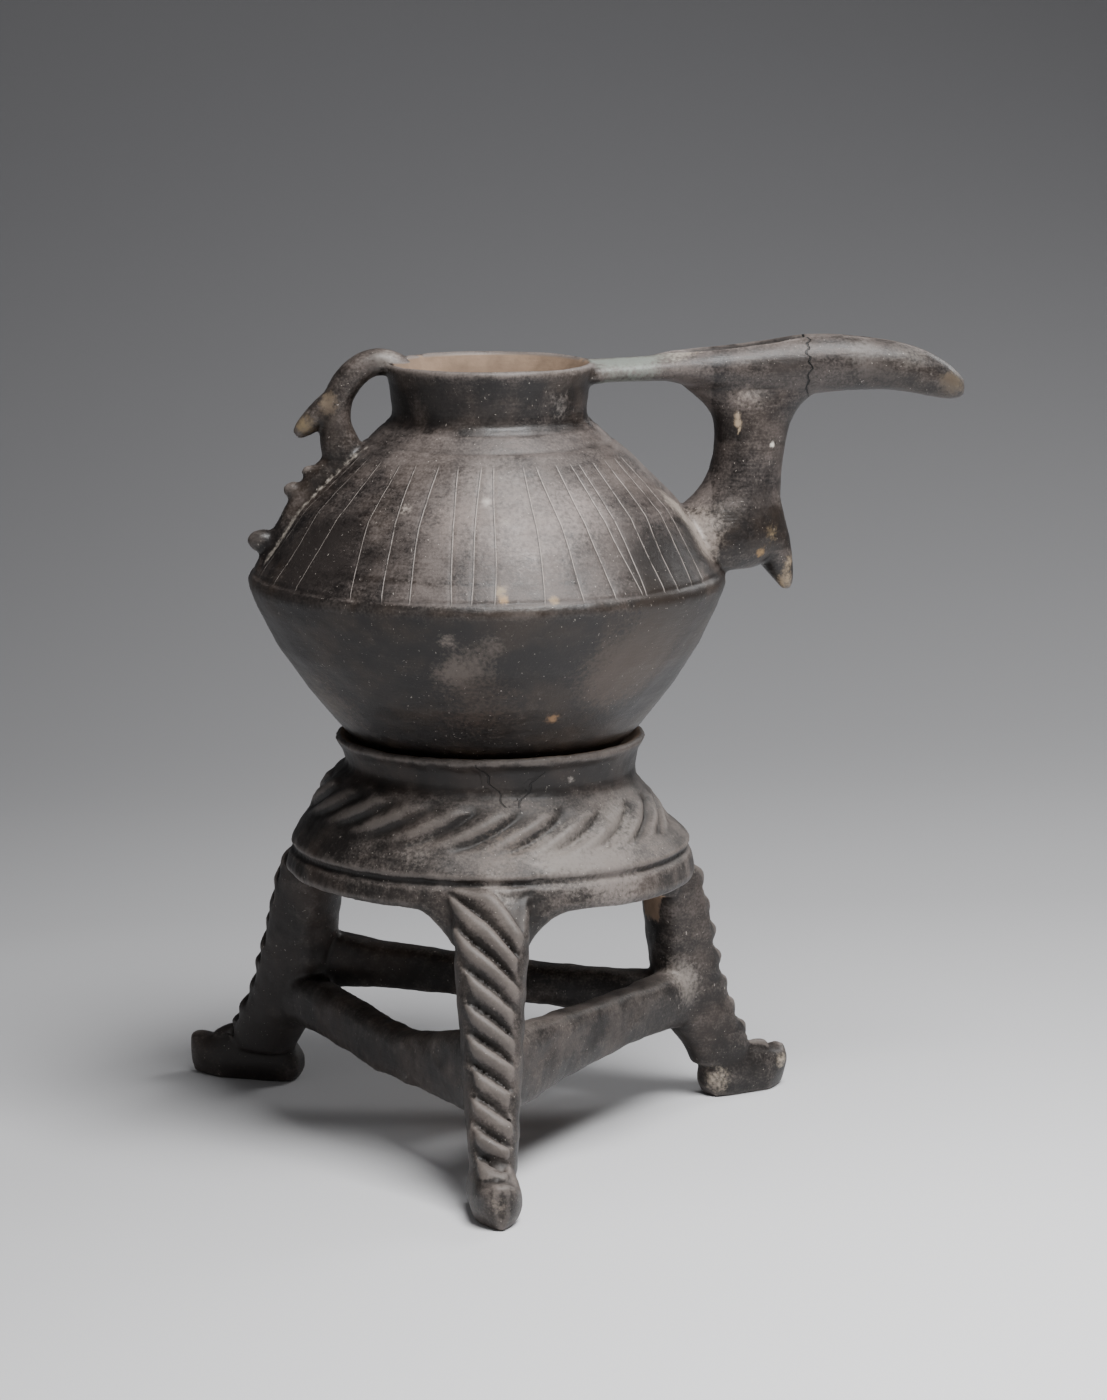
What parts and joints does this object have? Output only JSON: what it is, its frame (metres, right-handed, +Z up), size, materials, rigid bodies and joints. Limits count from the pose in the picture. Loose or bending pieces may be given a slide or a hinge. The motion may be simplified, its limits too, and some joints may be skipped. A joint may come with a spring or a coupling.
{
  "type": "spouted jar",
  "caption": "Dark burnished clay jar with a long open beak on a bridged riser, a loop handle and a scored shoulder, resting in the collar of a three-legged stand with twisted ribs.",
  "frame": {"origin": "middle of the bounding box's bottom, on the floor that the three feet stand on", "axes": "+Z up, +X the way the beak points"},
  "size_m": [0.3906, 0.3296, 0.4088],
  "materials": {
    "burnished_clay": "burnished dark grey-brown clay, near black below the shoulder, with scratches, pale specks and tan worn edges",
    "dusty_clay": "dark grey clay, pale with dust on the raised ribs and black in the grooves"
  },
  "bodies": {
    "root": {"spouted_jar": "burnished_clay", "tripod_stand": "dusty_clay"}
  },
  "joints": []
}
